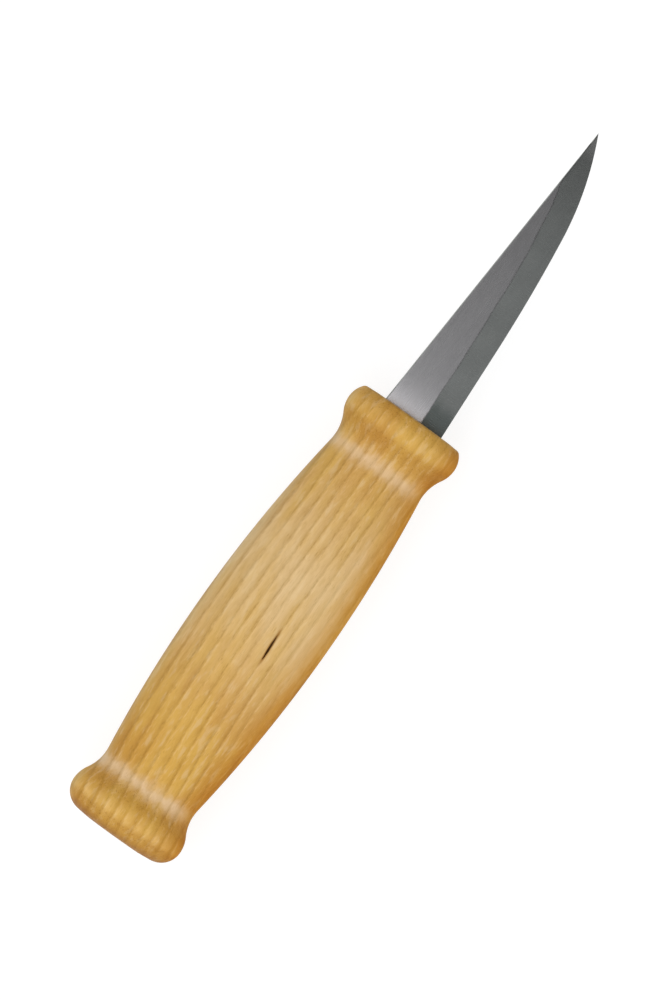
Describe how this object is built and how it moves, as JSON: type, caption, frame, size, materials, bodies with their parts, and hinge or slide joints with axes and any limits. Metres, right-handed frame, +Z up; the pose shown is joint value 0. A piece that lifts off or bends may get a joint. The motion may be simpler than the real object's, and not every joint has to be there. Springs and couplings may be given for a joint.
{
  "type": "wood carving knife",
  "caption": "Fixed-blade wood carving knife: short tapered blade with wide flat bevels and a curved tip, glued by its tang into an oval barrel-shaped birch handle with a bead at each end.",
  "frame": {"origin": "on the floor under the middle of the knife's length, on the handle's axis, with the knife lying on its left side", "axes": "+X from the butt to the tip, +Y from the cutting edge to the spine, +Z up through the blade's thickness"},
  "size_m": [0.1794, 0.0282, 0.023],
  "materials": {
    "birch": "oiled satin",
    "core_steel": "ground satin",
    "cladding_steel": "rolled and ground satin",
    "adhesive": "cured resin"
  },
  "bodies": {
    "root": {"handle": "birch", "blade_core": "core_steel", "blade_cladding_left": "cladding_steel", "blade_cladding_right": "cladding_steel", "tang_adhesive": "adhesive"}
  },
  "joints": []
}
